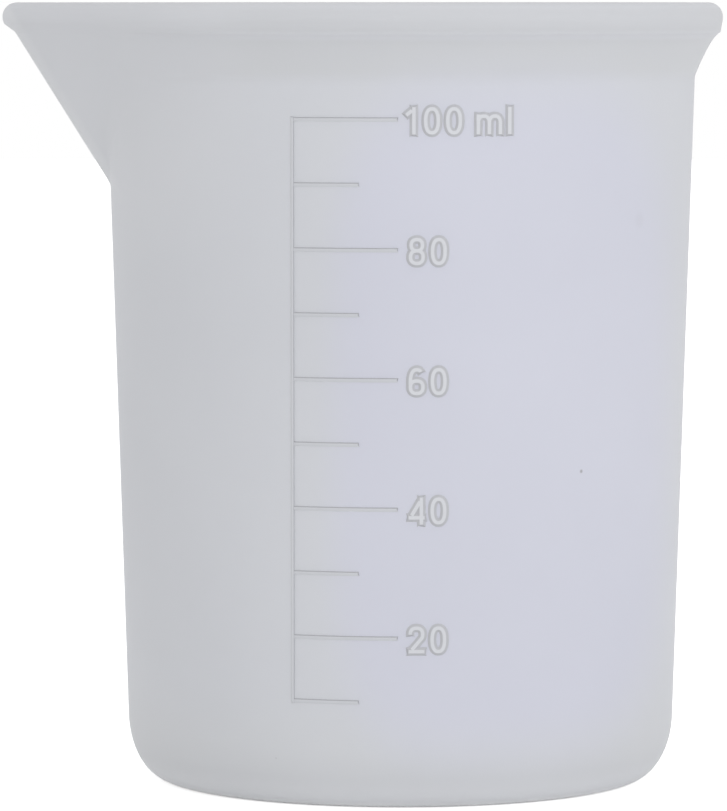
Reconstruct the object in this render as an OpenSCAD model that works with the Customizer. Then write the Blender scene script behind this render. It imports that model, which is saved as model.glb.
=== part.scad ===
// Resin mixing cup: a soft cup moulded in one shot, with a flat base, a slightly tapered wall,
// a flared collar, a rolled rim, a pointed pouring spout and a raised scale on the front.
// Millimetres, Z up. The origin is the centre of the base, on the axis of the round cup.
// The spout points to -X and the scale faces -Y.

/* [Cup] */
// Height from the table to the top of the rim
cup_h = 70; // [64:0.5:84]
// Outer radius that the side wall would have at the table without its rounded heel
foot_r = 24.45; // [21:0.05:25.5]
// Outer radius of the side wall at the neck, where the collar starts to flare
neck_r = 26.45; // [26:0.05:31]
// Thickness of the side wall
wall_t = 2; // [1.2:0.1:2.6]
// Thickness of the floor
floor_t = 2.2; // [1.4:0.1:4]
// How far the rounded heel reaches in from the side wall
heel_w = 3.7; // [1.5:0.1:6]
// How far the rounded heel reaches up from the table
heel_h = 6; // [3:0.1:8]
// Radius of the rounded corner between the floor and the wall inside the cup
corner_r = 4; // [1.5:0.1:7]

/* [Rim] */
// How far the rolled rim stands out past the neck
rim_out = 2.5; // [2.3:0.05:3.5]
// Radius of the rolled rim's own round section
bead_r = 1.3; // [1.2:0.05:1.7]
// Height of the rim above the plane where the collar and the spout end
lip_h = 2.65; // [2.2:0.05:2.8]
// How far the collar's top edge stays inside the rim's outer radius
lip_inset = 0.2; // [0.15:0.05:0.6]
// How far the rolled rim bulges into the mouth past the collar's top edge
mouth_bulge = 0.2; // [0.1:0.05:0.4]
// Height from the neck to the top of the rim
collar_h = 6.65; // [6:0.05:9]
// Lean of the collar away from upright at the neck
neck_lean = 20; // [16:1:26]
// Lean of the collar away from upright under the rim
lip_lean = 58; // [42:1:60]

/* [Spout] */
// How far the tip of the rim over the spout stands out past the round rim
spout_out = 6.9; // [5:0.05:9]
// Lean of the spout's keel away from upright
keel_lean = 32; // [28:0.1:38]
// How far inside the rim's outermost point the spout's flat sides would meet at the lip
keel_inset = 0.65; // [0.4:0.05:0.9]
// Outer radius of the rounded keel
keel_r = 2.2; // [1.8:0.1:3]
// Wall thickness of the spout
spout_t = 1.7; // [1.2:0.1:2]
// How deep the spout's flat sides cut into the round collar at the lip
side_tuck = 0.5; // [0.3:0.05:0.8]

/* [Scale] */
// Height of the lowest mark
first_mark_z = 9.6; // [8.5:0.05:14]
// Distance from the highest mark up to the neck
top_mark_gap = 3.35; // [2:0.05:8]
// Distance of the scale's upright line from the cup's axis, seen from the front
line_x = 9.45; // [8:0.05:12]
// Width of the raised lines
line_w = 0.36; // [0.25:0.01:0.5]
// Height of the raised lines above the wall
line_raise = 0.15; // [0.1:0.05:0.4]
// Length of the marks that have no numeral
short_mark = 5.5; // [3:0.1:6.5]
// Length of the marks that have a numeral
long_mark = 8.85; // [7:0.05:9.5]
// Gap from the end of a long mark to its numeral
numeral_gap = 0.85; // [0.7:0.05:1.5]
// How much further left the number with three digits starts
three_digit_shift = 0.3; // [0:0.05:0.6]
// How far the middle of a numeral sits below its mark
numeral_drop = 0.1; // [0:0.05:0.5]
// Height of the numerals
numeral_h = 2.55; // [2:0.05:3.2]
// Width of a numeral
numeral_w = 1.58; // [1.3:0.01:1.8]
// Width of the numeral one, which is narrower
one_w = 1.08; // [0.9:0.01:1.5]
// Extra space after the numeral one
one_space = 0.2; // [0:0.05:0.4]
// Space between neighbouring numerals
numeral_space = 0.31; // [0.2:0.01:0.5]
// Width of a numeral's strokes
stroke_w = 0.5; // [0.35:0.01:0.56]
// Height of the numerals above the wall
numeral_raise = 0.2; // [0.1:0.05:0.5]
// Space between the last numeral and the unit
unit_space = 1.05; // [0.6:0.05:1.6]

/* [Hidden] */
// Number of sides that stand for a full circle
$fn = 128;
// Steps along each of the profile's curved stretches
curve_steps = 8;
// Length that takes a cutter clear of what it cuts
past = 1;
// Least radius of a keel's rounded edge
least_edge_r = 0.05;
// How far the flare's inner line sags off a straight line, as a share of the wall's thickness
inner_sag = 0.1;

// The scale runs from 10 ml to 100 ml, and every second mark has a numeral
mark_value = 10;
mark_count = 10;

silicone_colour = [0.80, 0.81, 0.84];
scale_colour = [0.72, 0.73, 0.76];

// Heights of the neck, of the plane under the rim and of the middle of the rolled rim
neck_z = cup_h - collar_h;
lip_z = cup_h - lip_h;
bead_z = cup_h - bead_r;

// Outer radius of the rolled rim, of the collar's top edge, and of the tip of the rim over the spout
rim_r = neck_r + rim_out;
lip_r = rim_r - lip_inset;
spout_reach = rim_r + spout_out;

// Path of the middle of the rolled rim on the level: a circle and two tangents that meet at the tip
bead_path_r = rim_r - bead_r;
bead_tip = spout_reach - bead_r;
tangent_angle = acos(bead_path_r / bead_tip);
mouth_r = bead_path_r - bead_r + mouth_bulge;

// Half of the angle between the spout's flat sides, on the level and square to the keel
sharp_reach = spout_reach - keel_inset;
side_half_angle = asin((lip_r - side_tuck) / sharp_reach);
cross_half_angle = atan(tan(side_half_angle) / cos(keel_lean));

mark_step = (neck_z - top_mark_gap - first_mark_z) / (mark_count - 1);
numeral_x = long_mark + numeral_gap + line_w / 2 - line_x;

// Sizes of the letters of the unit, from the numerals
small_letter_h = 0.75 * numeral_h;
small_letter_w = 1.52 * numeral_w;

// Proportions of the numerals: the upper bow of the two, the bowl of the six, the ring on top of
// the eight, the bar and the stem of the four, and the foot of the one's flag. The opening of the
// six is an angle, and so are the two ends of the two's bow.
two_bow = 0.62;
two_start = 170;
two_end = -40;
six_bowl = 0.62;
six_opening = 38;
eight_top_h = 0.48;
eight_top_w = 0.93;
four_bar = 0.27;
four_stem = 0.76;
one_flag = 0.68;
// Steps round an oval, and how square the oval is, where 2 is an ellipse
oval_steps = 28;
oval_power = 2.4;

marks = [for (i = [1:mark_count]) i];
numbered_marks = [for (i = marks) if (i % 2 == 0) i];
function mark_name(i) = str("tick_", i * mark_value);
function numeral_name(i) = str("numeral_", i * mark_value);

// Outer radius of the tapered side wall at height z
function wall_r(z) = foot_r + (neck_r - foot_r) * z / neck_z;

// Height of mark i above the table
function mark_z(i) = first_mark_z + (i - 1) * mark_step;

// Points of a quarter ellipse that starts at the lowest point and ends at the outermost one
function corner_points(centre, across, up) = [
    for (i = [0:curve_steps]) let (a = 90 * i / curve_steps)
        [centre[0] + across * sin(a), centre[1] - up * cos(a)]
];

// Points of a curve that leaves p0 towards p1 and comes into p2 from p1
function bend_points(p0, p1, p2) = [
    for (i = [0:curve_steps]) let (t = i / curve_steps)
        p0 * (1 - t) * (1 - t) + p1 * 2 * t * (1 - t) + p2 * t * t
];

// Place where a line up from p at the first lean meets a line down from q at the second lean
function lean_corner(p, lean_p, q, lean_q) =
    let (
        across = q[0] - p[0],
        up = q[1] - p[1],
        share = (across * cos(lean_q) - up * sin(lean_q)) / sin(lean_p - lean_q)
    )
    p + share * [sin(lean_p), cos(lean_p)];

neck_point = [neck_r, neck_z];
lip_point = [lip_r, lip_z];
inner_neck_point = [neck_r - wall_t, neck_z];
mouth_point = [mouth_r, lip_z];

outer_profile = concat(
    [[0, 0]],
    corner_points([wall_r(heel_h) - heel_w, heel_h], heel_w, heel_h),
    bend_points(neck_point, lean_corner(neck_point, neck_lean, lip_point, lip_lean), lip_point),
    [[lip_r, cup_h], [0, cup_h]]
);

inner_corner_z = floor_t + corner_r;
inner_sag_point = (inner_neck_point + mouth_point) / 2 + [inner_sag, -inner_sag] * wall_t;
inner_profile = concat(
    [[0, floor_t]],
    corner_points([wall_r(inner_corner_z) - wall_t - corner_r, inner_corner_z], corner_r, corner_r),
    bend_points(inner_neck_point, inner_sag_point, mouth_point),
    [[mouth_r, cup_h], [0, cup_h]]
);

// Solid of the cup's outside, and solid of its round hollow
module outer_body() { rotate_extrude() polygon(outer_profile); }
module hollow() { rotate_extrude() polygon(inner_profile); }

// Part of the round shell between two heights
module shell(low, high) {
    rotate_extrude() intersection() {
        difference() {
            polygon(outer_profile);
            polygon(inner_profile);
        }
        translate([0, low]) square([rim_r, high - low]);
    }
}

// Upright wedge with its edge on the axis, out to where the spout's sides come nearest to it
module spout_sector() {
    far = 2 * spout_reach;
    far_x = -far * sin(side_half_angle);
    far_y = far * cos(side_half_angle);
    linear_extrude(cup_h) polygon([[0, 0], [far_x, far_y], [far_x, -far_y]]);
}

// V with a rounded keel, drawn square to the keel and pushed along it. The inset moves its faces
// inwards from the outside of the spout.
module keel_wedge(inset) {
    slant = sin(cross_half_angle);
    nose_r = max(keel_r - inset, least_edge_r);
    apex_x = (inset - keel_r) / slant;
    nose_x = apex_x + nose_r / slant;
    turn = 90 - cross_half_angle;
    nose = [for (i = [0:curve_steps]) let (a = 180 + turn - 2 * turn * i / curve_steps)
        [nose_x + nose_r * cos(a), nose_r * sin(a)]];
    back_x = 2 * rim_r;
    back_y = (back_x - apex_x) * tan(cross_half_angle);
    translate([keel_r / slant / cos(keel_lean) - sharp_reach, 0, lip_z])
        rotate([0, -keel_lean, 0])
            translate([0, 0, -2 * cup_h]) linear_extrude(3 * cup_h)
                polygon(concat([[back_x, -back_y]], nose, [[back_x, back_y]]));
}

// Upright wedge between the two places where the rolled rim leaves its circle for the spout
module lip_sector() {
    far = 2 * spout_reach;
    far_x = -far * cos(tangent_angle);
    far_y = far * sin(tangent_angle);
    linear_extrude(cup_h + past) polygon([[0, 0], [far_x, far_y], [far_x, -far_y]]);
}

// Outline of the mouth on the level, just under the rolled rim
module mouth_plan() {
    near = mouth_r * [-cos(tangent_angle), sin(tangent_angle)];
    circle(mouth_r);
    polygon([near, [-mouth_r / cos(tangent_angle), 0], [near[0], -near[1]]]);
}

// Everything above the plane where the collar and the spout end
module above_lip() {
    intersection() {
        translate([0, 0, lip_z]) cylinder(h = lip_h + past, r = 2 * spout_reach);
        children();
    }
}

// Flat round disc that closes the cup, up to the floor
module base() {
    color(silicone_colour) rotate_extrude() intersection() {
        polygon(outer_profile);
        square([rim_r, floor_t]);
    }
}

// Tapered side wall from the floor to the neck, with the spout's channel cut through it
module wall() {
    color(silicone_colour) difference() {
        shell(floor_t, neck_z);
        spout_channel();
    }
}

// Flared ring between the neck and the rim, open at the spout
module collar() {
    color(silicone_colour) difference() {
        shell(neck_z, lip_z);
        spout_channel();
    }
}

// Space inside the spout, where the resin runs
module spout_channel() {
    intersection() {
        keel_wedge(spout_t);
        spout_sector();
    }
}

// The spout's two flat sides and rounded keel, outside the round wall
module spout() {
    color(silicone_colour) difference() {
        intersection() {
            keel_wedge(0);
            spout_sector();
            cylinder(h = lip_z, r = 2 * spout_reach);
        }
        keel_wedge(spout_t);
        outer_body();
    }
}

// Rolled rim round the mouth, from one side of the spout to the other
module rim() {
    turn = 180 - tangent_angle;
    color(silicone_colour) rotate([0, 0, -turn]) rotate_extrude(angle = 2 * turn) intersection() {
        translate([0, lip_z]) square([rim_r + past, lip_h + past]);
        union() {
            translate([bead_path_r, bead_z]) circle(bead_r);
            translate([mouth_r, lip_z - past]) square([lip_r - mouth_r, bead_z - lip_z + past]);
        }
    }
}

// Rolled rim over the spout: two straight bars that meet at a rounded tip, and the wall under them
module spout_lip() {
    color(silicone_colour) intersection() {
        lip_sector();
        above_lip() union() {
            translate([-bead_tip, 0, bead_z]) {
                sphere(bead_r);
                for (side = [-1, 1]) rotate([0, 0, side * (90 - tangent_angle)])
                    rotate([0, 90, 0]) cylinder(h = spout_reach, r = bead_r);
            }
            difference() {
                intersection() {
                    union() {
                        cylinder(h = bead_z, r = lip_r);
                        keel_wedge(0);
                    }
                    cylinder(h = bead_z, r = spout_reach);
                }
                translate([0, 0, -past]) linear_extrude(cup_h + 2 * past) mouth_plan();
            }
        }
    }
}

// The part of an upright drawing that stands proud of the front wall between two heights
module raised(height, low, high) {
    intersection() {
        rotate([90, 0, 0]) linear_extrude(2 * neck_r) children();
        rotate_extrude() polygon([[wall_r(low), low], [wall_r(low) + height, low],
            [wall_r(high) + height, high], [wall_r(high), high]]);
    }
}

// Upright line at the left of the scale, from the lowest mark to the highest
module scale_line() {
    low = mark_z(1) - line_w / 2;
    high = mark_z(mark_count) + line_w / 2;
    color(scale_colour) raised(line_raise, low, high)
        translate([-line_x - line_w / 2, low - past]) square([line_w, high - low + 2 * past]);
}

// Mark i of the scale, from the upright line towards the right
module mark(i) {
    length = i % 2 == 0 ? long_mark : short_mark;
    low = mark_z(i) - line_w / 2;
    color(scale_colour) raised(line_raise, low, low + line_w)
        translate([-line_x + line_w / 2, low - past]) square([length, line_w + 2 * past]);
}

// Point of an oval at angle a, for an oval that reaches across and up from its centre
function oval_point(centre, across, up, a) =
    centre + [across * bow(cos(a)), up * bow(sin(a))];
function bow(v) = sign(v) * pow(abs(v), 2 / oval_power);

// Points along an oval from angle a to angle b
function oval_points(centre, across, up, a, b) =
    let (steps = ceil(oval_steps * abs(b - a) / 360))
    [for (i = [0:steps]) oval_point(centre, across, up, a + (b - a) * i / steps)];

// Sideways step at point i of a path, drawn out at corners so that a stroke keeps its width
function along(v) = v / norm(v);
function side_step(path, i) =
    let (
        last = len(path) - 1,
        before = along(path[max(i, 1)] - path[max(i, 1) - 1]),
        after = along(path[min(i, last - 1) + 1] - path[min(i, last - 1)]),
        both = before + after
    )
    [-both[1], both[0]] / (1 + before * after) * stroke_w / 2;

// Stroke of even width along a path
module stroke(path) {
    last = len(path) - 1;
    polygon(concat(
        [for (i = [0:last]) path[i] + side_step(path, i)],
        [for (i = [last:-1:0]) path[i] - side_step(path, i)]
    ));
}

// Closed oval stroke that fills a box with its lower left corner at the given place
module ring(place, width, height) {
    centre = place + [width, height] / 2;
    difference() {
        polygon(oval_points(centre, width / 2, height / 2, 0, 360));
        polygon(oval_points(centre, width / 2 - stroke_w, height / 2 - stroke_w, 0, 360));
    }
}

// Cuts a numeral's corners off at the edges of its box
module in_box(width, height) {
    intersection() {
        square([width, height]);
        children();
    }
}

// Lines through the middle of the strokes next to the left, upper and lower edge
mid_left = stroke_w / 2;
mid_top = numeral_h - stroke_w / 2;
mid_low = stroke_w / 2;

module zero() { ring([0, 0], numeral_w, numeral_h); }

module one() {
    stem_x = one_w - stroke_w;
    in_box(one_w, numeral_h)
        stroke([[0, one_flag * numeral_h], [stem_x, mid_top], [stem_x, -past]]);
}

module two() {
    across = (numeral_w - stroke_w) / 2;
    up = (two_bow * numeral_h - stroke_w) / 2;
    centre = [numeral_w / 2, mid_top - up];
    in_box(numeral_w, numeral_h) stroke(concat(
        oval_points(centre, across, up, two_start, two_end),
        [[mid_left, mid_low], [numeral_w + past, mid_low]]
    ));
}

module four() {
    bar_y = four_bar * numeral_h;
    stem_x = four_stem * numeral_w;
    in_box(numeral_w, numeral_h) {
        stroke([[numeral_w + past, bar_y], [mid_left, bar_y], [stem_x, mid_top],
            [stem_x, numeral_h / 2]]);
        stroke([[stem_x, mid_top], [stem_x, -past]]);
    }
}

module six() {
    bowl_h = six_bowl * numeral_h;
    centre = [numeral_w, numeral_h] / 2;
    opening = 2 * numeral_h * [cos(six_opening), sin(six_opening)];
    ring([0, 0], numeral_w, bowl_h);
    difference() {
        ring([0, 0], numeral_w, numeral_h);
        square([numeral_w, bowl_h / 2]);
        polygon([centre, [centre[0], -past], [centre[0] + opening[0], -past], centre + opening]);
    }
}

module eight() {
    top_w = eight_top_w * numeral_w;
    top_h = eight_top_h * (numeral_h + stroke_w);
    ring([(numeral_w - top_w) / 2, numeral_h - top_h], top_w, top_h);
    ring([0, 0], numeral_w, numeral_h + stroke_w - top_h);
}

// The letters m and l
module letter_m() {
    rise = small_letter_w / 4;
    middle = small_letter_w / 2;
    shoulder = small_letter_h - stroke_w / 2 - rise;
    square([stroke_w, small_letter_h]);
    for (start = [mid_left, middle])
        let (finish = start + middle - mid_left)
        in_box(small_letter_w, small_letter_h) stroke(concat(
            [[start, -past], [start, shoulder / 2]],
            oval_points([(start + finish) / 2, shoulder], (finish - start) / 2, rise, 180, 0),
            [[finish, shoulder / 2], [finish, -past]]
        ));
}

module letter_l() { square([stroke_w, numeral_h]); }

// Draws a digit out of those that a scale in even tens needs
module digit(value) {
    if (value == 0) zero();
    if (value == 1) one();
    if (value == 2) two();
    if (value == 4) four();
    if (value == 6) six();
    if (value == 8) eight();
}

// Room that a digit takes on its line
function digit_step(value) = (value == 1 ? one_w + one_space : numeral_w) + numeral_space;

// Digits of a number, where the number starts, and where digit k starts within it
function digits(value) = value < 10 ? [value] : concat(digits(floor(value / 10)), [value % 10]);
function number_x(list) = numeral_x - (len(list) > 2 ? three_digit_shift : 0);
function digit_x(list, k) = k == 0 ? 0 : digit_x(list, k - 1) + digit_step(list[k - 1]);

// Lowest edge of the numerals beside mark i
function numeral_z(i) = mark_z(i) - numeral_drop - numeral_h / 2;

// Lettering on the front wall, with its lower left corner at x and level with mark i
module lettering(i, x) {
    low = numeral_z(i);
    color(scale_colour) raised(numeral_raise, low - past, low + numeral_h + past)
        translate([x, low]) children();
}

// Raised number beside mark i
module numeral(i) {
    list = digits(i * mark_value);
    lettering(i, number_x(list))
        for (k = [0:len(list) - 1]) translate([digit_x(list, k), 0]) digit(list[k]);
}

// The unit after the highest number
module unit_ml() {
    list = digits(mark_count * mark_value);
    unit_x = number_x(list) + digit_x(list, len(list)) - numeral_space + unit_space;
    lettering(mark_count, unit_x) {
        letter_m();
        translate([small_letter_w + numeral_space, 0]) letter_l();
    }
}

base();
wall();
collar();
spout();
rim();
spout_lip();
scale_line();
for (i = marks) mark(i);
for (i = numbered_marks) numeral(i);
unit_ml();
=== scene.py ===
"""Resin mixing cup: one soft, milky silicone moulding with a rolled rim, a spout and a raised scale.

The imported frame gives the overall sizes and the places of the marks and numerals. The moulding is
one continuous skin, swept round the cup's axis, and the scale is built from strokes with sloping
sides. Metres, Z up. The spout points to -X and the scale faces -Y, towards the camera.
"""

import math

import bmesh
import bpy
import numpy as np
from bpy.props import FloatProperty, FloatVectorProperty, PointerProperty
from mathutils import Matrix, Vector


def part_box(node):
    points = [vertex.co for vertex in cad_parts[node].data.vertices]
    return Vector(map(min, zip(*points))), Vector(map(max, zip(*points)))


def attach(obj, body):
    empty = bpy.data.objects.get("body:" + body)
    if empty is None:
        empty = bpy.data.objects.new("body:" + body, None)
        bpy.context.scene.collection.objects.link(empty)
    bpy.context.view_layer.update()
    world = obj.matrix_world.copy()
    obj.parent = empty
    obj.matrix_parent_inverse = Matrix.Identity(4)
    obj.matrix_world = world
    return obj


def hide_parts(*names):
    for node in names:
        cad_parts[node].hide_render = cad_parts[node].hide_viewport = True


bl_info = {
    "name": "Resin mixing cup",
    "version": (1, 0, 0),
    "blender": (4, 5, 0),
    "location": "View3D > Sidebar > Mixing cup",
    "description": "Builds a milky silicone mixing cup with a raised scale",
    "category": "Mesh",
}

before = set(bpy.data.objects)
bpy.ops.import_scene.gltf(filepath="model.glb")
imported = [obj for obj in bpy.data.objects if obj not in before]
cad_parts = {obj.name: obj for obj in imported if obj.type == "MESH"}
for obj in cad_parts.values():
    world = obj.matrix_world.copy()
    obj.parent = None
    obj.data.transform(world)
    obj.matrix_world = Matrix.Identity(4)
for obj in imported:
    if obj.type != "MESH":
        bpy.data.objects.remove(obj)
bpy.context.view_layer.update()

MM = 0.001
WHITE = (1, 1, 1, 1)
MATH = "ShaderNodeMath"
VECTOR_MATH = "ShaderNodeVectorMath"

# Marks of the scale in millilitres, those with a numeral, and the CAD nodes of the moulding
MARKS = [10 * i for i in range(1, 11)]
NUMBERS = [mark for mark in MARKS if mark % 20 == 0]
BODY_NODES = ["base", "wall", "collar", "spout", "rim", "spout_lip"]

# Where the skin has points, in degrees from the spout: the end and the step of each stretch
TURNS = [(6, 0.5), (30, 0.75), (45, 1.25), (180, 2.5)]
# How many rings the skin has on each part of its outline
HEEL_RINGS = 15
LOW_WALL_RINGS = 18
HIGH_WALL_RINGS = 22
FLARE_RINGS = 13
BEAD_RINGS = 25
INNER_WALL_RINGS = 30
CORNER_RINGS = 13
# Rings of the flat underside and floor, as shares of their radius
DISC_SHARES = (0.25, 0.5, 0.75, 0.95)
# Height above which the wall's rings lie closer, because the spout grows out of it there
FINE_WALL = 0.052
# Angle at which the bead's section starts outside, in degrees above level. It ends at the same
# angle inside
BEAD_START = -30
# How far the flare inside bows away from a straight line, in wall thicknesses
FLARE_SAG = 0.1
# The fillets beside the spout are wider inside, by this factor
HOLLOW_WIDENING = 1.5
# Least radius of the tip of the rim's path, as a share of the keel's radius
LEAST_NOSE = 0.25

# Points round a whole oval, and its power: 2 is an ellipse, more is squarer
OVAL_STEPS = 28
OVAL_POWER = 2.4
# Longest straight piece of a mark, in millimetres, so that it follows the round wall
MARK_STEP = 0.6
# Numerals and letters: widths as shares of a numeral's width, heights as shares of its height, and
# the angles at which open ovals start or end, in degrees
FLAG_HEIGHT = 0.63
TWO_BOW_HEIGHT = 0.62
TWO_BOW_END = -40
FOUR_BAR_HEIGHT = 0.27
FOUR_STEM_PLACE = 0.76
SIX_BOWL_HEIGHT = 0.62
SIX_BACK_START = 35
EIGHT_TOP_WIDTH = 0.93
M_WIDTH = 1.52
M_HEIGHT = 0.75
# Height of the upper ring of the 8, as a share of a numeral's height and one stroke together
EIGHT_TOP_HEIGHT = 0.48
# How far the hook of the 2 comes down, in half heights of its bow
TWO_HOOK = 1.45
# Least outward part of the normal of a numeral's flat top, and least sum of the rightward and
# upward parts of the normal of a line's steep sides. The numerals' other faces and those steep
# sides get painted shade
FLAT_FACING = 0.9
SHADED_SIDE_FACING = 0.2
# Edges of the scale stay sharp when they turn by more than this, in degrees
SHARP_EDGE = 30

# Bands of the outside, from the table up: what a band's heights are measured from, where it starts
# and ends in millimetres from there, and the name in the finish of the tint that it turns to. The
# bands paint light at the foot and heel, under the rim and along its top, and paint shade at the
# heel, the neck and the rolled rim
SHADE_AND_LIGHT_BANDS = [("table", 0.1, 0.7, "heel"), ("table", 0, 3, "thick"), ("table", 3, 12, "silicone"),
         ("neck", -0.5, 1, "thick"), ("lip", -0.8, -0.3, "pale"), ("lip", -0.2, 0.4, "bead"),
         ("top", -0.9, -0.1, "pale")]
# Patches of painted light: centre and half sizes in millimetres, softness, and the tint's name
LIGHT_PATCHES = [((9, -25, 34), (15, 30, 28.6), 0.3, "cool"),
           ((-26, -12, 65), (11, 22, 14), 0.9, "pale")]
# Specks of dust on the front of the wall: x, z and size in millimetres, and strength. A speck has
# its full strength within the core, a share of its size
SPECKS = [(15.6, 29.3, 0.22, 0.8), (-11.0, 4.4, 0.15, 0.6), (20.8, 51.0, 0.9, 0.06)]
SPECK_CORE = 1 / 3
# The painted light on the keel sets in between these depths behind its front, in thicknesses of the
# spout, and between these distances below the neck, in millimetres
KEEL_DEPTHS = (1.1, 0.6)
KEEL_DROPS = (12, 7)


def length(name, description, default):
    """A length that a user may change, in metres."""
    return FloatProperty(name=name, description=description, default=default, subtype="DISTANCE",
                         unit="LENGTH", precision=5, min=0)


def angle(name, description, degrees):
    """An angle that a user may change, given in degrees."""
    return FloatProperty(name=name, description=description, default=math.radians(degrees),
                         subtype="ANGLE", unit="ROTATION")


def amount(name, description, default, least=0):
    """A plain number that a user may change."""
    return FloatProperty(name=name, description=description, default=default, precision=3, min=least)


def share(name, description, default):
    """A share between 0 and 1 that a user may change."""
    return FloatProperty(name=name, description=description, default=default, subtype="FACTOR",
                         min=0, max=1)


def colour(name, description, default):
    """A colour that a user may change, as linear red, green and blue."""
    return FloatVectorProperty(name=name, description=description, default=default, subtype="COLOR",
                               size=3, min=0, max=1)


class CupSizes(bpy.types.PropertyGroup):
    """Sizes of the round cup."""

    foot_radius: length("Foot radius", "Radius that the wall would have at the table", 0.02445)
    neck_radius: length("Neck radius", "Outer radius where the collar starts", 0.02645)
    wall: length("Wall", "Thickness of the side wall", 0.002)
    floor: length("Floor", "Thickness of the floor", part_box("base")[1].z)
    heel_width: length("Heel width", "How far the rounded heel reaches in", 0.0037)
    heel_height: length("Heel height", "How far the rounded heel reaches up", 0.006)
    corner: length("Inner corner", "Radius between the floor and the wall inside", 0.004)


class RimSizes(bpy.types.PropertyGroup):
    """Sizes of the collar and of the rolled rim."""

    height: length("Height", "Height of the top of the rim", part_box("rim")[1].z)
    radius: length("Rim radius", "Outer radius of the rolled rim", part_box("rim")[1].x)
    bead: length("Bead radius", "Radius of the rolled rim's own section", 0.0013)
    neck_height: length("Neck height", "Height where the collar starts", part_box("collar")[0].z)
    lip_height: length("Lip height", "Height where the rolled rim starts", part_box("collar")[1].z)
    lip_inset: length("Lip inset", "How far the collar's top stays inside the rim", 0.0002)
    bulge: length("Mouth bulge", "How far the rolled rim bulges into the mouth", 0.0002)
    neck_lean: angle("Neck lean", "Lean of the collar at the neck", 20)
    lip_lean: angle("Lip lean", "Lean of the collar under the rim", 58)


class SpoutSizes(bpy.types.PropertyGroup):
    """Sizes of the pouring spout."""

    reach: length("Reach", "Distance of the rim's tip from the axis", -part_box("spout_lip")[0].x)
    keel_lean: angle("Keel lean", "Lean of the keel away from upright", 32)
    keel_inset: length("Keel inset", "How far inside the tip the flat sides meet", 0.00065)
    keel_radius: length("Keel radius", "Outer radius of the rounded keel", 0.0022)
    channel_radius: length("Channel radius", "Radius at the bottom of the channel", 0.0009)
    thickness: length("Thickness", "Wall thickness of the spout", 0.0017)
    side_tuck: length("Side tuck", "How deep the flat sides cut into the collar", 0.0005)
    fillet: length("Fillet", "Size of the fillet where the keel meets the wall", 0.0002)
    side_fillet: length("Side fillet", "Extra size of the fillet beside the keel", 0.0008)
    fillet_end: angle("Fillet end", "Angle from the spout at which the extra fillet has run out", 50)


class ScaleSizes(bpy.types.PropertyGroup):
    """Sizes of the raised scale."""

    line_foot: length("Line foot", "Width of a mark where it rises from the wall", 0.00038)
    upright_foot: length("Upright foot", "Width of the upright line at the wall", 0.00030)
    line_top: length("Line top", "Width of a line's flat top", 0.00014)
    line_shift: length("Line shift", "How far a line's flat top lies off its middle", 0.00003)
    line_raise: length("Line height", "Height of a line above the wall", 0.00008)
    stroke_foot: length("Stroke foot", "Width of a numeral's stroke at the wall", 0.00074)
    stroke_top: length("Stroke top", "Width of a numeral's flat top", 0.00030)
    stroke_raise: length("Stroke height", "Height of a numeral above the wall", 0.00014)
    sunk: length("Sunk", "How deep the strokes reach into the wall", 0.0001)
    digit_height: length("Digit height", "Height of the numerals", 0.00255)
    digit_width: length("Digit width", "Width of a numeral", 0.00158)
    one_width: length("One width", "Width of the numeral one", 0.00108)
    one_space: length("One space", "Extra space after the numeral one", 0.0002)
    digit_space: length("Digit space", "Space between numerals", 0.00031)
    stroke: length("Stroke", "Width of a stroke half way up its slope", 0.0005)


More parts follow.
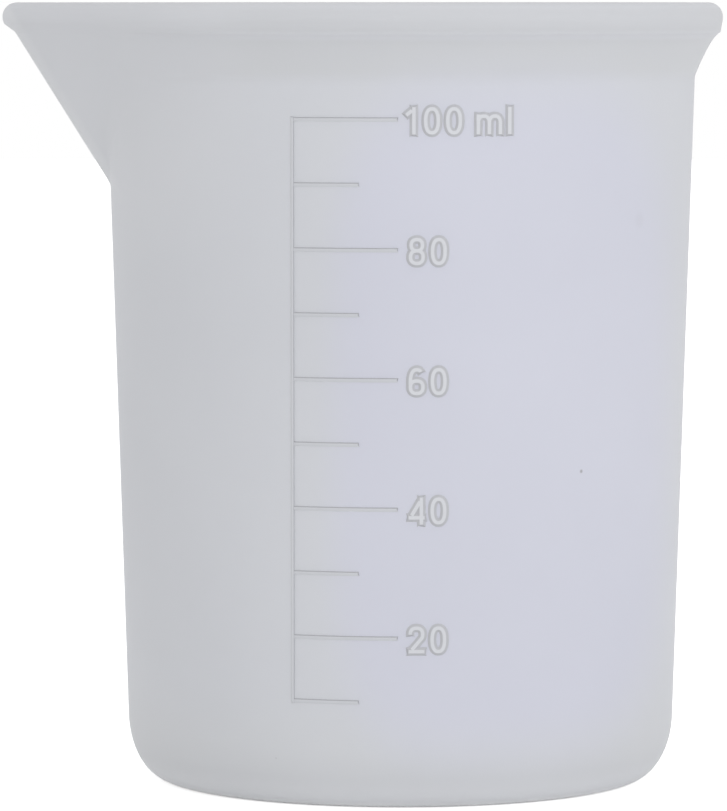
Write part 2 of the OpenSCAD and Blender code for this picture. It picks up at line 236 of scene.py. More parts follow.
class Finish(bpy.types.PropertyGroup):
    """Colours and surface of the silicone and the floor, with the painted light and shade on the
    silicone.
    """

    silicone: colour("Silicone", "Milky silicone of the thin wall", (0.653, 0.664, 0.693))
    # Cool patch: a painted bluish light on the middle of the front
    cool: colour("Cool patch", "Bluer tint in the middle of the front", (0.648, 0.656, 0.727))
    # Pale patch: painted light on the spout and beside it, just under the rim and along its top
    pale: colour("Pale patch", "Paler tint of the spout and beside it", (0.675, 0.685, 0.711))
    # Keel: painted light, a paler strip along the spout's keel
    keel: colour("Keel", "Spout's keel, paler where it is seen edge on", (0.70, 0.71, 0.73))
    speck: colour("Speck", "Dust that was caught in the silicone", (0.36, 0.36, 0.37))
    # Darker tint at the heel, the neck and inside under the rim: painted shade
    thick: colour("Thick silicone", "Thicker collar and heel", (0.642, 0.652, 0.669))
    # Bead: painted shade, a darker colour on the rolled rim
    bead: colour("Bead", "Rolled rim, where the silicone is thickest", (0.627, 0.636, 0.655))
    # Hollow: painted light, a glow deep inside
    hollow: colour("Hollow", "Deep inside, lit through the wall", (0.94, 0.943, 0.95))
    # Heel and foot: painted light, paler colours that cancel the shade where the cup meets the floor
    heel: colour("Heel", "Heel, where the table's light comes through", (0.76, 0.77, 0.79))
    foot: colour("Foot", "Very foot, where most of that light comes through", (0.98, 0.985, 0.99))
    cloud: colour("Cloud", "Slightly denser clouds in the silicone", (0.93, 0.93, 0.935))
    line: colour("Line top", "Tops and gentle sides of the lines", (0.622, 0.632, 0.657))
    # Line edge: painted shade on the steep sides that face right or up
    line_edge: colour("Line edge", "Steep sides of the lines", (0.44, 0.445, 0.465))
    # Numeral top: painted highlight. Numeral edge: painted shade on the sloping sides
    numeral: colour("Numeral top", "Flat tops of the numerals", (0.675, 0.685, 0.71))
    numeral_edge: colour("Numeral edge", "Sloping sides of the numerals", (0.52, 0.525, 0.545))
    floor: colour("Floor", "Pale studio floor", (0.90, 0.90, 0.90))
    floor_roughness: share("Floor roughness", "Roughness of the floor", 0.9)
    cloud_scale: amount("Cloud scale", "How close together the clouds lie", 45)
    grain_scale: amount("Grain scale", "How fine the moulded grain is", 2500)
    grain_strength: share("Grain strength", "Strength of the moulded grain", 0.05)
    grain_depth: length("Grain depth", "Depth of the moulded grain", 0.0001)
    smoothest: share("Smoothest", "Roughness between the clouds", 0.55)
    roughest: share("Roughest", "Roughness in the clouds", 0.65)
    refraction: amount("Refraction", "Index of refraction of the silicone", 1.41, least=1)
    sheen: share("Sheen", "Strength of the reflections", 0.22)
    glow: share("Glow", "Share of the light that passes through the moulding", 0.15)
    glow_depth: length("Glow depth", "How far light passes through the silicone", 0.001)
    glow_tint: colour("Glow tint", "Share of that depth for red, green and blue", (1, 0.95, 0.95))


class StageSizes(bpy.types.PropertyGroup):
    """Camera, light and floor."""

    distance: length("Distance", "Camera's distance from the cup's axis", 0.52)
    eye_height: length("Eye height", "Camera's height above the table", 0.07035)
    aside: length("Aside", "How far the camera stands towards the spout", 0.00335)
    tilt: angle("Tilt", "How far the camera looks down", 4.04)
    lens: amount("Lens", "Focal length in millimetres", 255.9, least=1)
    sensor: amount("Sensor", "Width of the camera's sensor in millimetres", 36, least=1)
    nearest: length("Nearest", "Distance at which the camera starts to see", 0.01)
    farthest: length("Farthest", "Distance at which the camera stops seeing", 20)
    floor_reach: length("Floor reach", "How far the floor reaches from the cup", 2)
    floor_lift: share("Floor lift", "How much paler the floor looks than it is lit", 0.62)
    room_light: amount("Room light", "Strength of the soft light from all round", 1)
    overhead: amount("Overhead", "Share of the room light that comes from overhead", 0.7)
    key_power: amount("Key power", "Power of the soft lamp in front, in watts", 1.12)
    key_size: length("Key size", "Width of the soft lamp", 0.5)
    key_tint: colour("Key tint", "Colour of the soft lamp", (0.94, 0.95, 1))
    key_place: FloatVectorProperty(name="Key place", description="Where the soft lamp stands",
                                   default=(0.3, -0.6, 0.25), subtype="TRANSLATION", unit="LENGTH")


class CupSettings(bpy.types.PropertyGroup):
    """All settings of the mixing cup."""

    cup: PointerProperty(type=CupSizes)
    rim: PointerProperty(type=RimSizes)
    spout: PointerProperty(type=SpoutSizes)
    scale: PointerProperty(type=ScaleSizes)
    finish: PointerProperty(type=Finish)
    stage: PointerProperty(type=StageSizes)


def settings():
    """The mixing cup's settings in this scene."""
    return bpy.context.scene.mixing_cup


# Outline of the cup: distances from the axis, at every turn from the spout

def azimuths():
    """Turns from the spout at which the skin has points, all the way round, in radians."""
    starts = [0] + [end for end, _ in TURNS]
    half = np.concatenate([np.arange(start, end, step) for start, (end, step) in zip(starts, TURNS)])
    return np.radians(np.concatenate([half, [180], -half[:0:-1]]))


def wall_radius(z):
    """Outer radius of the tapered wall at height z."""
    cup, rim = settings().cup, settings().rim
    return cup.foot_radius + (cup.neck_radius - cup.foot_radius) * z / rim.neck_height


def on_wall(x, z, out=0):
    """Point on the front of the tapered wall, or that far in front of it."""
    radius = wall_radius(z) + out
    return x, -math.sqrt(radius ** 2 - x ** 2), z


def ray_to_ellipse(turn, centre, across, along):
    """Far distance at which a ray at each turn leaves an ellipse centred on the spout's axis."""
    a = (np.cos(turn) / along) ** 2 + (np.sin(turn) / across) ** 2
    b = centre * np.cos(turn) / along ** 2
    c = (centre / along) ** 2 - 1
    return (b + np.sqrt(np.maximum(b * b - a * c, 0))) / a


def spout_angle():
    """Angle from the spout at which its flat sides come nearest to the axis."""
    rim, spout = settings().rim, settings().spout
    side = (rim.radius - rim.lip_inset - spout.side_tuck) / (spout.reach - spout.keel_inset)
    return math.pi / 2 - math.asin(side)


def spout_distance(turn, z, inset, nose):
    """Distance of the V of the spout at height z, moved inwards by the inset."""
    rim, spout = settings().rim, settings().spout
    nearest = spout_angle()
    lean = spout.keel_lean
    slope = math.hypot(1 / math.cos(lean), math.tan(nearest))
    apex = spout.reach - spout.keel_inset - inset * slope - (rim.lip_height - z) * math.tan(lean)
    apex = max(apex, spout.keel_radius)
    turn = np.abs(turn)
    side = apex * math.cos(nearest) / np.cos(nearest - np.minimum(turn, nearest))
    centre = apex - nose * slope
    along, across = nose / math.cos(lean), nose
    touch = math.hypot(along * math.cos(nearest), across * math.sin(nearest))
    touch_x = centre + along ** 2 * math.cos(nearest) / touch
    touch_y = across ** 2 * math.sin(nearest) / touch
    rounded = ray_to_ellipse(turn, centre, across, along)
    return np.where(turn < math.atan2(touch_y, touch_x), rounded, side)


def either(turn, a, b, widening=1):
    """The larger of two distances, with a fillet where they meet that is widest beside the keel."""
    spout = settings().spout
    beside = np.sin(math.pi * np.minimum(np.abs(turn) / spout.fillet_end, 1)) ** 2
    fillet = widening * (spout.fillet + spout.side_fillet * beside)
    near = np.maximum(fillet - np.abs(a - b), 0)
    return np.maximum(a, b) + near ** 2 / (4 * fillet)


def rim_distance(turn, offset):
    """Distance of the rim's path, moved outwards: a circle, two tangents and a round tip."""
    rim, spout = settings().rim, settings().spout
    circle = rim.radius - rim.bead
    tangent = math.acos(circle / (spout.reach - rim.bead))
    turn = np.abs(turn)
    side = (circle + offset) / np.cos(np.maximum(tangent - turn, 0))
    nose = max(offset, LEAST_NOSE * spout.keel_radius)
    centre = (circle + offset - nose) / math.cos(tangent)
    end = math.atan2(nose * math.sin(tangent), centre + nose * math.cos(tangent))
    return np.where(turn < end, ray_to_ellipse(turn, centre, nose, nose), side)


def bend(start, corner, end, steps):
    """Points of a curve that leaves the start towards the corner and comes into the end from it."""
    t = np.linspace(0, 1, steps)[:, None]
    return np.array(start) * (1 - t) ** 2 + np.array(corner) * 2 * t * (1 - t) + np.array(end) * t ** 2


def lean_corner(p, lean_p, q, lean_q):
    """Place where a line up from p at one lean meets a line down from q at the other."""
    across, up = q[0] - p[0], q[1] - p[1]
    along = (across * math.cos(lean_q) - up * math.sin(lean_q)) / math.sin(lean_p - lean_q)
    return p[0] + along * math.sin(lean_p), p[1] + along * math.cos(lean_p)


def outer_outline():
    """Radius and height of the round cup's outside, from the edge of the underside to the lip."""
    cup, rim = settings().cup, settings().rim
    heel = [(wall_radius(cup.heel_height) - cup.heel_width * (1 - math.sin(a)),
             cup.heel_height * (1 - math.cos(a))) for a in np.linspace(0, math.pi / 2, HEEL_RINGS)]
    low_wall = np.linspace(cup.heel_height, FINE_WALL, LOW_WALL_RINGS)[1:]
    high_wall = np.linspace(FINE_WALL, rim.neck_height, HIGH_WALL_RINGS)[1:]
    wall = [(wall_radius(z), z) for z in np.concatenate([low_wall, high_wall])]
    neck, lip = wall[-1], (rim.radius - rim.lip_inset, rim.lip_height)
    flare = bend(neck, lean_corner(neck, rim.neck_lean, lip, rim.lip_lean), lip, FLARE_RINGS)[1:]
    return heel + wall + [tuple(p) for p in flare]


def inner_outline():
    """Radius and height of the round hollow, from the mouth down to the edge of the flat floor."""
    cup, rim = settings().cup, settings().rim
    corner_z = cup.floor + cup.corner
    mouth = np.array([rim.radius - 2 * rim.bead + rim.bulge, rim.lip_height])
    neck = np.array([cup.neck_radius - cup.wall, rim.neck_height])
    sag = (mouth + neck) / 2 + np.array([FLARE_SAG, -FLARE_SAG]) * cup.wall
    flare = bend(mouth, sag, neck, FLARE_RINGS)
    wall = [(wall_radius(z) - cup.wall, z)
            for z in np.linspace(rim.neck_height, corner_z, INNER_WALL_RINGS)[1:]]
    centre = wall_radius(corner_z) - cup.wall - cup.corner
    corner = [(centre + cup.corner * math.cos(a), corner_z - cup.corner * math.sin(a))
              for a in np.linspace(0, math.pi / 2, CORNER_RINGS)[1:]]
    return [tuple(p) for p in flare] + wall + corner


def bead_rows(turn):
    """Rings of the rolled rim. Its underside is fuller than round, except at the tip of the spout."""
    rim = settings().rim
    away = np.sin(turn / 2) ** 2
    rows = []
    for a in np.radians(np.linspace(BEAD_START, 180 - BEAD_START, BEAD_RINGS)):
        out = math.cos(a)
        fuller = math.sqrt(out) - out if a < 0 else 0
        rows.append((rim_distance(turn, rim.bead * out) + rim.bead * fuller * away,
                     rim.height - rim.bead + rim.bead * math.sin(a)))
    return rows


def skin_rows():
    """Rings of the moulding, from the underside round the rim to the floor: distances and a height.

    The second result is the number of the first ring of the hollow.
    """
    cup, spout = settings().cup, settings().spout
    turn = azimuths()
    outer, inner = outer_outline(), inner_outline()
    rows = [(np.full(len(turn), part * outer[0][0]), 0) for part in DISC_SHARES]
    for radius, z in outer:
        rows.append((either(turn, radius, spout_distance(turn, z, 0, spout.keel_radius)), z))
    rows += bead_rows(turn)
    hollow = len(rows)
    for radius, z in inner:
        flat = spout_distance(turn, z, spout.thickness, spout.channel_radius)
        rows.append((either(turn, radius, flat, HOLLOW_WIDENING), z))
    rows += [(np.full(len(turn), part * inner[-1][0]), cup.floor) for part in reversed(DISC_SHARES)]
    return rows, hollow


def mesh_from(bm, name):
    """Turns a bmesh into a mesh and frees it."""
    mesh = bpy.data.meshes.new(name)
    bm.to_mesh(mesh)
    bm.free()
    return mesh


def new_object(name, data):
    """Adds an object to the scene."""
    made = bpy.data.objects.new(name, data)
    bpy.context.scene.collection.objects.link(made)
    return made


def build_skin():
    """The whole moulding without its scale, as one closed skin. The hollow has the second material."""
    turn, (rows, hollow) = azimuths(), skin_rows()
    bm = bmesh.new()
    bottom = bm.verts.new((0, 0, 0))
    rings = [[bm.verts.new((-r * math.cos(t), r * math.sin(t), z)) for r, t in zip(radii, turn)]
             for radii, z in rows]
    top = bm.verts.new((0, 0, rows[-1][1]))
    count = len(turn)
    for k in range(count):
        n = (k + 1) % count
        bm.faces.new((bottom, rings[0][k], rings[0][n]))
        for row, (low, high) in enumerate(zip(rings, rings[1:])):
            bm.faces.new((low[k], high[k], high[n], low[n])).material_index = int(row >= hollow)
        bm.faces.new((rings[-1][k], top, rings[-1][n])).material_index = 1
    bmesh.ops.recalc_face_normals(bm, faces=bm.faces)
    for face in bm.faces:
        face.smooth = True
    return new_object("moulded_cup", mesh_from(bm, "moulded_cup"))


# Strokes of the raised scale, drawn flat in millimetres: x to the right, y up, z out of the wall

def side_steps(points, closed):
    """Sideways direction at each point of a path, longer at corners so that a stroke keeps its width."""
    steps = np.diff(np.vstack([points, points[:1]]) if closed else points, axis=0)
    steps /= np.linalg.norm(steps, axis=1)[:, None]
    before = np.roll(steps, 1, axis=0) if closed else np.vstack([steps[:1], steps])
    after = steps if closed else np.vstack([steps, steps[-1:]])
    both = before + after
    return np.column_stack([-both[:, 1], both[:, 0]]) / (1 + np.sum(before * after, axis=1))[:, None]


def stroke(path, foot, top, height, closed=False, shift=0):
    """A mesh of one stroke with sloping sides along a path. Open ends slope as the sides do.

    The shift moves the flat top to the left of the path, which leaves a wider slope on its right.
    """
    sunk = settings().scale.sunk / MM
    points = np.array(path, float)
    section = [(-foot / 2, -sunk), (-foot / 2, 0), (shift - top / 2, height), (shift + top / 2, height),
               (foot / 2, 0), (foot / 2, -sunk)]
    bm = bmesh.new()
    rings = [[bm.verts.new((*(point + side * across), up)) for across, up in section]
             for point, side in zip(points, side_steps(points, closed))]
    if not closed:
        for ends, inwards in ((rings[0], points[1] - points[0]), (rings[-1], points[-2] - points[-1])):
            inwards *= (foot - top) / 2 / np.linalg.norm(inwards)
            for vert in ends[2:4]:
                vert.co += Vector((*inwards, 0))
    for a, b in zip(rings, rings[1:] + (rings[:1] if closed else [])):
        for k in range(len(section)):
            n = (k + 1) % len(section)
            bm.faces.new((a[k], a[n], b[n], b[k]))
    if not closed:
        bm.faces.new(rings[0])
        bm.faces.new(rings[-1])
    bmesh.ops.recalc_face_normals(bm, faces=bm.faces)
    return mesh_from(bm, "stroke")


def fuse(name, meshes):
    """One solid mesh out of strokes that cross."""
    parts = [new_object(name, mesh) for mesh in meshes]
    for part in parts[1:]:
        union = parts[0].modifiers.new("union", "BOOLEAN")
        union.operation = "UNION"
        union.solver = "MANIFOLD"
        union.object = part
    bpy.context.view_layer.update()
    evaluated = parts[0].evaluated_get(bpy.context.evaluated_depsgraph_get())
    mesh = bpy.data.meshes.new_from_object(evaluated)
    for part in parts:
        bpy.data.objects.remove(part)
    mesh.name = name
    mesh.materials.clear()
    return mesh


def lay_on_wall(mesh, shaded):
    """Lays a flat drawing on the front of the wall. The faces that shaded picks get the second material,
    which has painted shade.
    """
    mesh.polygons.foreach_set("material_index", [int(shaded(face.normal)) for face in mesh.polygons])
    mesh.shade_smooth()
    mesh.set_sharp_from_angle(angle=math.radians(SHARP_EDGE))
    for vert in mesh.vertices:
        vert.co = on_wall(*(vert.co * MM))
    mesh.update()


def oval(centre, across, up, start=0, end=360):
    """Points along a squarish oval, from one angle to another."""
    turns = np.radians(np.linspace(start, end, max(2, round(OVAL_STEPS * abs(end - start) / 360)) + 1))
    bow = [np.sign(v) * np.abs(v) ** (2 / OVAL_POWER) for v in (np.cos(turns), np.sin(turns))]
    return [(centre[0] + across * x, centre[1] + up * y) for x, y in zip(*bow)]


def ring(x, y, width, height, weight):
    """A closed oval stroke that fills a box: the path through its middle, and that it is closed."""
    centre = (x + width / 2, y + height / 2)
    return oval(centre, (width - weight) / 2, (height - weight) / 2)[:-1], True


def line(*points):
    """An open stroke: its path, and that it isn't closed."""
    return list(points), False


def glyph_strokes(glyph):
    """Strokes of one numeral or letter that stands on the origin."""
    scale = settings().scale
    wide, tall, weight = scale.digit_width / MM, scale.digit_height / MM, scale.stroke / MM
    spread = (scale.stroke_foot / MM - weight) / 2
    half = weight / 2
    low, high, left, right = -spread, tall + spread, half, wide + spread
    if glyph == "0":
        return [ring(0, 0, wide, tall, weight)]
    if glyph == "1":
        stem = scale.one_width / MM - half
        return [line((stem, high), (stem, low)), line((0, FLAG_HEIGHT * tall), (stem, tall - half))]
    if glyph == "2":
        up = (TWO_BOW_HEIGHT * tall - weight) / 2
        bow = oval((wide / 2, tall - half - up), (wide - weight) / 2, up, 180, TWO_BOW_END)
        hook = (left, tall - half - TWO_HOOK * up)
        return [line(hook, *bow, (left, half)), line((-spread, half), (right, half))]
    if glyph == "4":
        bar, stem = FOUR_BAR_HEIGHT * tall, FOUR_STEM_PLACE * wide
        return [line((-spread, bar), (right, bar)), line((left, bar), (stem, tall - half)),
                line((stem, high), (stem, low))]
    if glyph == "6":
        bowl = SIX_BOWL_HEIGHT * tall
        middle = (wide / 2, tall / 2)
        back = oval(middle, (wide - weight) / 2, (tall - weight) / 2, SIX_BACK_START, 180)
        return [ring(0, 0, wide, bowl, weight), line(*back, (left, bowl / 2))]
    if glyph == "8":
        top_wide, top_tall = EIGHT_TOP_WIDTH * wide, EIGHT_TOP_HEIGHT * (tall + weight)
        return [ring((wide - top_wide) / 2, tall - top_tall, top_wide, top_tall, weight),
                ring(0, 0, wide, tall + weight - top_tall, weight)]
    if glyph == "m":
        small = M_HEIGHT * tall
        step, rise = M_WIDTH * wide / 2 - half, M_WIDTH * wide / 4
        strokes = [line((half, small + spread), (half, low))]
        for start in (half, half + step):
            arch = oval((start + step / 2, small - half - rise), step / 2, rise, 180, 0)
            strokes.append(line((start, small / 3), *arch, (start + step, low)))
        return strokes
    if glyph == "l":
        return [line((half, high), (half, low))]
    raise ValueError("no strokes for " + glyph)


def glyph_width(glyph):
    """Room that a numeral or letter takes on its line, in millimetres."""
    scale = settings().scale
    wide = scale.digit_width
    own = {"1": scale.one_width + scale.one_space, "m": M_WIDTH * wide, "l": scale.stroke}
    return (own.get(glyph, wide) + scale.digit_space) / MM


def build_lettering(name, text):
    """Raised lettering in the place of the node of that name, which has the same text."""
    scale = settings().scale
    x, _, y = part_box(name)[0] / MM
    sizes = [scale.stroke_foot / MM, scale.stroke_top / MM, scale.stroke_raise / MM]
    bm = bmesh.new()
    for glyph in text:
        strokes = [stroke([(x + a, y + b) for a, b in path], *sizes, closed)
                   for path, closed in glyph_strokes(glyph)]
        bm.from_mesh(fuse(glyph, strokes))
        x += glyph_width(glyph)
    mesh = mesh_from(bm, name)
    # The sloping sides of the numerals get painted shade
    lay_on_wall(mesh, lambda normal: normal.z < FLAT_FACING)
    piece = new_object("raised_" + name, mesh)
    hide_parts(name)
    return piece


def build_lines():
    """The scale's upright line and its marks, as one raised ladder."""
    scale = settings().scale
    sizes = [scale.line_foot / MM, scale.line_top / MM, scale.line_raise / MM]
    shift = scale.line_shift / MM
    spread = (sizes[0] - sizes[1]) / 4
    low, high = [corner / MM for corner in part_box("scale_line")]
    line_x = (low.x + high.x) / 2
    # The upright line is narrower than a mark, and its left edge lies where a mark's would
    foot = scale.upright_foot / MM
    upright_x = line_x - (sizes[0] - foot) / 2
    upright = [(upright_x, low.z - spread), (upright_x, high.z + spread)]
    strokes = [stroke(upright, foot, *sizes[1:], shift=-shift)]
    for mark in MARKS:
        low, high = [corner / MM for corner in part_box("tick_%d" % mark)]
        end_x, z = high.x + spread, (low.z + high.z) / 2
        places = np.linspace(line_x, end_x, 2 + round((end_x - line_x) / MARK_STEP))
        strokes.append(stroke([(x, z) for x in places], *sizes, shift=shift))
    mesh = fuse("raised_scale_lines", strokes)
    # The steep sides that face right or up get painted shade
    lay_on_wall(mesh, lambda normal: normal.x + normal.y > SHADED_SIDE_FACING)
    piece = new_object("raised_scale_lines", mesh)
    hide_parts("scale_line", *["tick_%d" % mark for mark in MARKS])
    return piece


# Materials

def node(tree, kind, **values):
    """Adds a shader node, with its settings and the values of its inputs."""
    made = tree.nodes.new(kind)
    for name, value in values.items():
        if name in made.inputs:
            made.inputs[name].default_value = value
        else:
            setattr(made, name, value)
    return made


def new_material(name):
    """An empty node material, with its tree and its principled shader."""
    material = bpy.data.materials.new(name)
    material.use_nodes = True
    return material, material.node_tree, material.node_tree.nodes["Principled BSDF"]


def worked_out(tree, kind, operation, result, *values):
    """A result of a maths node whose inputs are sockets or fixed values."""
    made = node(tree, kind, operation=operation)
    for target, value in zip(made.inputs, values):
        if isinstance(value, bpy.types.NodeSocket):
            tree.links.new(value, target)
        else:
            target.default_value = value
    return made.outputs[result]


def height_of(tree, place):
    """The third coordinate of a place."""
    parts = node(tree, "ShaderNodeSeparateXYZ")
    tree.links.new(place, parts.inputs["Vector"])
    return parts.outputs["Z"]


def smooth_step(tree, source, start, end, most=1):
    """A share that rises smoothly from 0 to its most while the source goes from start to end."""
    step = node(tree, "ShaderNodeMapRange", interpolation_type="SMOOTHSTEP",
                **{"From Min": start, "From Max": end, "To Max": most})
    tree.links.new(source, step.inputs["Value"])
    return step.outputs["Result"]


def laid_over(tree, body, tint, cover):
    """A colour with a tint laid over it, as far as the cover says."""
    mix = node(tree, "ShaderNodeMixRGB", Color2=(*tint, 1))
    tree.links.new(cover, mix.inputs["Fac"])
    tree.links.new(body, mix.inputs["Color1"])
    return mix.outputs["Color"]


def tints_by_height(tree, place, lowest, *steps):
    """A colour that turns from the lowest tint to the next ones, each between two heights."""
    plain = node(tree, "ShaderNodeRGB")
    plain.outputs["Color"].default_value = (*lowest, 1)
    body = plain.outputs["Color"]
    height = height_of(tree, place)
    for start, end, tint in steps:
        body = laid_over(tree, body, tint, smooth_step(tree, height, start, end))
    return body


def paint_patches(tree, place, body):
    """Lays the soft patches of painted light over a colour."""
    for centre, reach, soft, tint in LIGHT_PATCHES:
        away = worked_out(tree, VECTOR_MATH, "SUBTRACT", "Vector", place, Vector(centre) * MM)
        part = worked_out(tree, VECTOR_MATH, "DIVIDE", "Vector", away, Vector(reach) * MM)
        square = worked_out(tree, VECTOR_MATH, "MULTIPLY", "Vector", part, part)
        far = worked_out(tree, VECTOR_MATH, "LENGTH", "Value", square)
        cover = smooth_step(tree, far, 1 + soft, 1 - soft)
        body = laid_over(tree, body, getattr(settings().finish, tint), cover)
    return body


def paint_keel(tree, place, body):
    """Lays painted light over a colour, a paler tint along the keel, the slanting front of the spout."""
    spout, rim = settings().spout, settings().rim
    lean = math.tan(spout.keel_lean)
    front = spout.reach - spout.keel_inset - rim.lip_height * lean
    along = worked_out(tree, VECTOR_MATH, "DOT_PRODUCT", "Value", place, (-1, 0, -lean))
    depths = [front - part * spout.thickness for part in KEEL_DEPTHS]
    heights = [rim.neck_height - drop * MM for drop in KEEL_DROPS]
    cover = worked_out(tree, MATH, "MULTIPLY", "Value", smooth_step(tree, along, *depths),
                       smooth_step(tree, height_of(tree, place), *heights))
    return laid_over(tree, body, settings().finish.keel, cover)


def paint_specks(tree, place, body):
    """Lays a few tiny specks of caught dust over a colour."""
    for x, z, size, strength in SPECKS:
        away = worked_out(tree, VECTOR_MATH, "DISTANCE", "Value", place, on_wall(x * MM, z * MM))
        cover = smooth_step(tree, away, size * MM, SPECK_CORE * size * MM, strength)
        body = laid_over(tree, body, settings().finish.speck, cover)
    return body


def silicone(name, lowest, *steps, glow=0, paint=()):
    """Milky satin silicone: soft clouds in its colour, a faint moulded grain and light let through."""
    finish = settings().finish
    material, tree, shader = new_material(name)
    link = tree.links.new
    place = node(tree, "ShaderNodeTexCoord").outputs["Object"]
    clouds = node(tree, "ShaderNodeTexNoise", Scale=finish.cloud_scale, Detail=3, Roughness=0.5)
    link(place, clouds.inputs["Vector"])
    body = tints_by_height(tree, place, lowest, *steps)
    # Layers of painted light, and specks of dust
    for layer in paint:
        body = layer(tree, place, body)
    tint = node(tree, "ShaderNodeMixRGB", blend_type="MULTIPLY", Color2=(*finish.cloud, 1))
    link(clouds.outputs["Fac"], tint.inputs["Fac"])
    link(body, tint.inputs["Color1"])
    link(tint.outputs["Color"], shader.inputs["Base Color"])
    grain = node(tree, "ShaderNodeTexNoise", Scale=finish.grain_scale, Detail=2)
    link(place, grain.inputs["Vector"])
    bump = node(tree, "ShaderNodeBump", Strength=finish.grain_strength, Distance=finish.grain_depth)
    link(grain.outputs["Fac"], bump.inputs["Height"])
    link(bump.outputs["Normal"], shader.inputs["Normal"])
    satin = node(tree, "ShaderNodeMapRange", **{"To Min": finish.smoothest, "To Max": finish.roughest})
    link(clouds.outputs["Fac"], satin.inputs["Value"])
    link(satin.outputs["Result"], shader.inputs["Roughness"])
    shader.inputs["IOR"].default_value = finish.refraction
    shader.inputs["Specular IOR Level"].default_value = finish.sheen
    shader.inputs["Subsurface Weight"].default_value = glow
    shader.inputs["Subsurface Radius"].default_value = finish.glow_tint
    shader.inputs["Subsurface Scale"].default_value = finish.glow_depth
    return material


def pale_floor():
    """A pale floor that the camera sees as white, and that keeps the cup's shadow."""
    finish = settings().finish
    material, tree, shader = new_material("Pale floor")
    link = tree.links.new
    shader.inputs["Base Color"].default_value = (*finish.floor, 1)
    shader.inputs["Roughness"].default_value = finish.floor_roughness
    rays = node(tree, "ShaderNodeLightPath").outputs
    seen = worked_out(tree, MATH, "MAXIMUM", "Value", rays["Is Camera Ray"], rays["Is Glossy Ray"])
    seen = worked_out(tree, MATH, "MAXIMUM", "Value", seen, rays["Is Transmission Ray"])
    lift = worked_out(tree, MATH, "MULTIPLY", "Value", seen, settings().stage.floor_lift)
    glow = node(tree, "ShaderNodeEmission")
    link(lift, glow.inputs["Strength"])
    both = node(tree, "ShaderNodeAddShader")
    link(shader.outputs["BSDF"], both.inputs[0])
    link(glow.outputs["Emission"], both.inputs[1])
    link(both.outputs["Shader"], tree.nodes["Material Output"].inputs["Surface"])
    return material


def white_world():
    """Soft pale light from all round, a little weaker from overhead, seen as white."""
    stage = settings().stage
    world = bpy.data.worlds.new("Studio")
    bpy.context.scene.world = world
    world.use_nodes = True
    tree = world.node_tree
    link = tree.links.new
    light = tree.nodes["Background"]
    light.inputs["Color"].default_value = WHITE
    height = height_of(tree, node(tree, "ShaderNodeTexCoord").outputs["Generated"])
    level = node(tree, "ShaderNodeMapRange",
                 **{"To Min": stage.room_light, "To Max": stage.room_light * stage.overhead})
    link(height, level.inputs["Value"])
    link(level.outputs["Result"], light.inputs["Strength"])
    seen = node(tree, "ShaderNodeBackground", Color=WHITE, Strength=1)
    mix = node(tree, "ShaderNodeMixShader")
    link(node(tree, "ShaderNodeLightPath").outputs["Is Camera Ray"], mix.inputs["Fac"])
    link(light.outputs["Background"], mix.inputs[1])
    link(seen.outputs["Background"], mix.inputs[2])
    link(mix.outputs["Shader"], tree.nodes["World Output"].inputs["Surface"])


def place_lamp(aim):
    """Adds the square soft lamp, turned towards a point."""
    stage = settings().stage
    data = bpy.data.lights.new("Key", "AREA")
    data.size = stage.key_size
    data.energy = stage.key_power
    data.color = stage.key_tint
    lamp = new_object("Key", data)
    lamp.location = stage.key_place
    lamp.rotation_euler = (Vector(aim) - Vector(stage.key_place)).to_track_quat("-Z", "Y").to_euler()


def place_camera():
    """Adds the camera at the photograph's viewing angle."""
    stage = settings().stage
    data = bpy.data.cameras.new("Camera")
    data.lens = stage.lens
    data.sensor_width = stage.sensor
    data.clip_start = stage.nearest
    data.clip_end = stage.farthest
    camera = new_object("Camera", data)
    camera.location = (-stage.aside, -stage.distance, stage.eye_height)
    camera.rotation_euler = (math.pi / 2 - stage.tilt, 0, 0)
    bpy.context.scene.camera = camera


# Pieces

def finish_piece(piece, slot, *materials):
    """Gives a piece its materials and lets it move with the cup."""
    for material in materials:
        piece.data.materials.append(material)
    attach(piece, "root")


class MIXCUP_OT_skin(bpy.types.Operator):
    """Build the moulded cup: base, wall, collar, spout and rolled rim as one skin"""

    bl_idname = "mixing_cup.skin"
    bl_label = "Moulded cup"

    def execute(self, context):
        finish, rim = settings().finish, settings().rim
        levels = {"table": 0, "neck": rim.neck_height, "lip": rim.lip_height, "top": rim.height}
        steps = [(levels[level] + start * MM, levels[level] + end * MM, getattr(finish, tint))
                 for level, start, end, tint in SHADE_AND_LIGHT_BANDS]
        # The outside has painted light at the foot, heel, under the rim, along its top and on the spout,
        # and painted shade at the heel, neck and rim
        outside = silicone("Milky silicone", finish.foot, *steps, glow=finish.glow,
                           paint=(paint_patches, paint_keel, paint_specks))
        # The inside has a painted glow deep down, turning to painted shade under the rim
        inside = silicone("Milky silicone hollow painted glow", finish.hollow,
                          (rim.neck_height / 2, rim.lip_height, finish.thick), glow=finish.glow)
        piece = build_skin()
        finish_piece(piece, "silicone", outside, inside)
        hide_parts(*BODY_NODES)
        return {"FINISHED"}


class MIXCUP_OT_lines(bpy.types.Operator):
    """Build the upright line and the marks of the scale"""

    bl_idname = "mixing_cup.lines"
    bl_label = "Scale lines"

    def execute(self, context):
        finish = settings().finish
        # The lines' steep sides carry painted shade
        finish_piece(build_lines(), "silicone_scale", silicone("Line tops", finish.line),
                     silicone("Line sides painted shade", finish.line_edge))
        return {"FINISHED"}


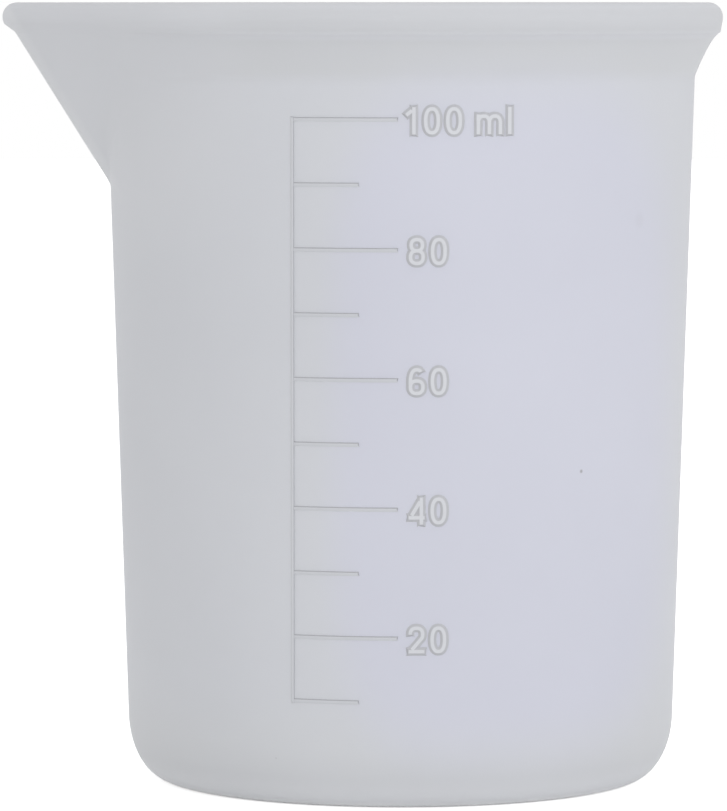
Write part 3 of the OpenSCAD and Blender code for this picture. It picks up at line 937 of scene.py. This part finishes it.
class MIXCUP_OT_numerals(bpy.types.Operator):
    """Build the raised numerals and the unit"""

    bl_idname = "mixing_cup.numerals"
    bl_label = "Numerals and unit"

    def execute(self, context):
        finish = settings().finish
        # Numeral tops carry a painted highlight, their sides painted shade
        materials = [silicone("Numeral tops painted highlight", finish.numeral),
                     silicone("Numeral sides painted shade", finish.numeral_edge)]
        texts = {"numeral_%d" % number: str(number) for number in NUMBERS}
        texts["unit_ml"] = "ml"
        for name, text in texts.items():
            finish_piece(build_lettering(name, text), "silicone_scale", *materials)
        return {"FINISHED"}


class MIXCUP_OT_stage(bpy.types.Operator):
    """Set up the floor, the studio light and the camera"""

    bl_idname = "mixing_cup.stage"
    bl_label = "Studio"

    def execute(self, context):
        bm = bmesh.new()
        bmesh.ops.create_grid(bm, x_segments=8, y_segments=8, size=settings().stage.floor_reach)
        floor = new_object("studio_floor", mesh_from(bm, "studio_floor"))
        floor.data.materials.append(pale_floor())
        white_world()
        place_lamp((0, 0, settings().rim.height / 2))
        place_camera()
        bpy.context.scene.view_settings.view_transform = "Standard"
        return {"FINISHED"}


class VIEW3D_PT_mixing_cup(bpy.types.Panel):
    """Sidebar panel with the cup's settings and build steps"""

    bl_label = "Mixing cup"
    bl_space_type = "VIEW_3D"
    bl_region_type = "UI"
    bl_category = "Mixing cup"

    def draw(self, context):
        cup = context.scene.mixing_cup
        for group in (cup.cup, cup.rim, cup.spout, cup.scale, cup.finish, cup.stage):
            box = self.layout.box()
            for name in group.__annotations__:
                box.prop(group, name)
        for step in OPERATORS:
            self.layout.operator(step.bl_idname)


GROUPS = [CupSizes, RimSizes, SpoutSizes, ScaleSizes, Finish, StageSizes, CupSettings]
OPERATORS = [MIXCUP_OT_skin, MIXCUP_OT_lines, MIXCUP_OT_numerals, MIXCUP_OT_stage]
CLASSES = GROUPS + OPERATORS + [VIEW3D_PT_mixing_cup]


def register():
    """Registers the classes and hangs the settings on the scene."""
    for kind in CLASSES:
        bpy.utils.register_class(kind)
    bpy.types.Scene.mixing_cup = PointerProperty(type=CupSettings)


def unregister():
    """Takes back what register did."""
    del bpy.types.Scene.mixing_cup
    for kind in reversed(CLASSES):
        bpy.utils.unregister_class(kind)


def main():
    """Builds the cup and the studio."""
    register()
    bpy.ops.mixing_cup.skin()
    bpy.ops.mixing_cup.lines()
    bpy.ops.mixing_cup.numerals()
    bpy.ops.mixing_cup.stage()


if __name__ == "__main__":
    main()
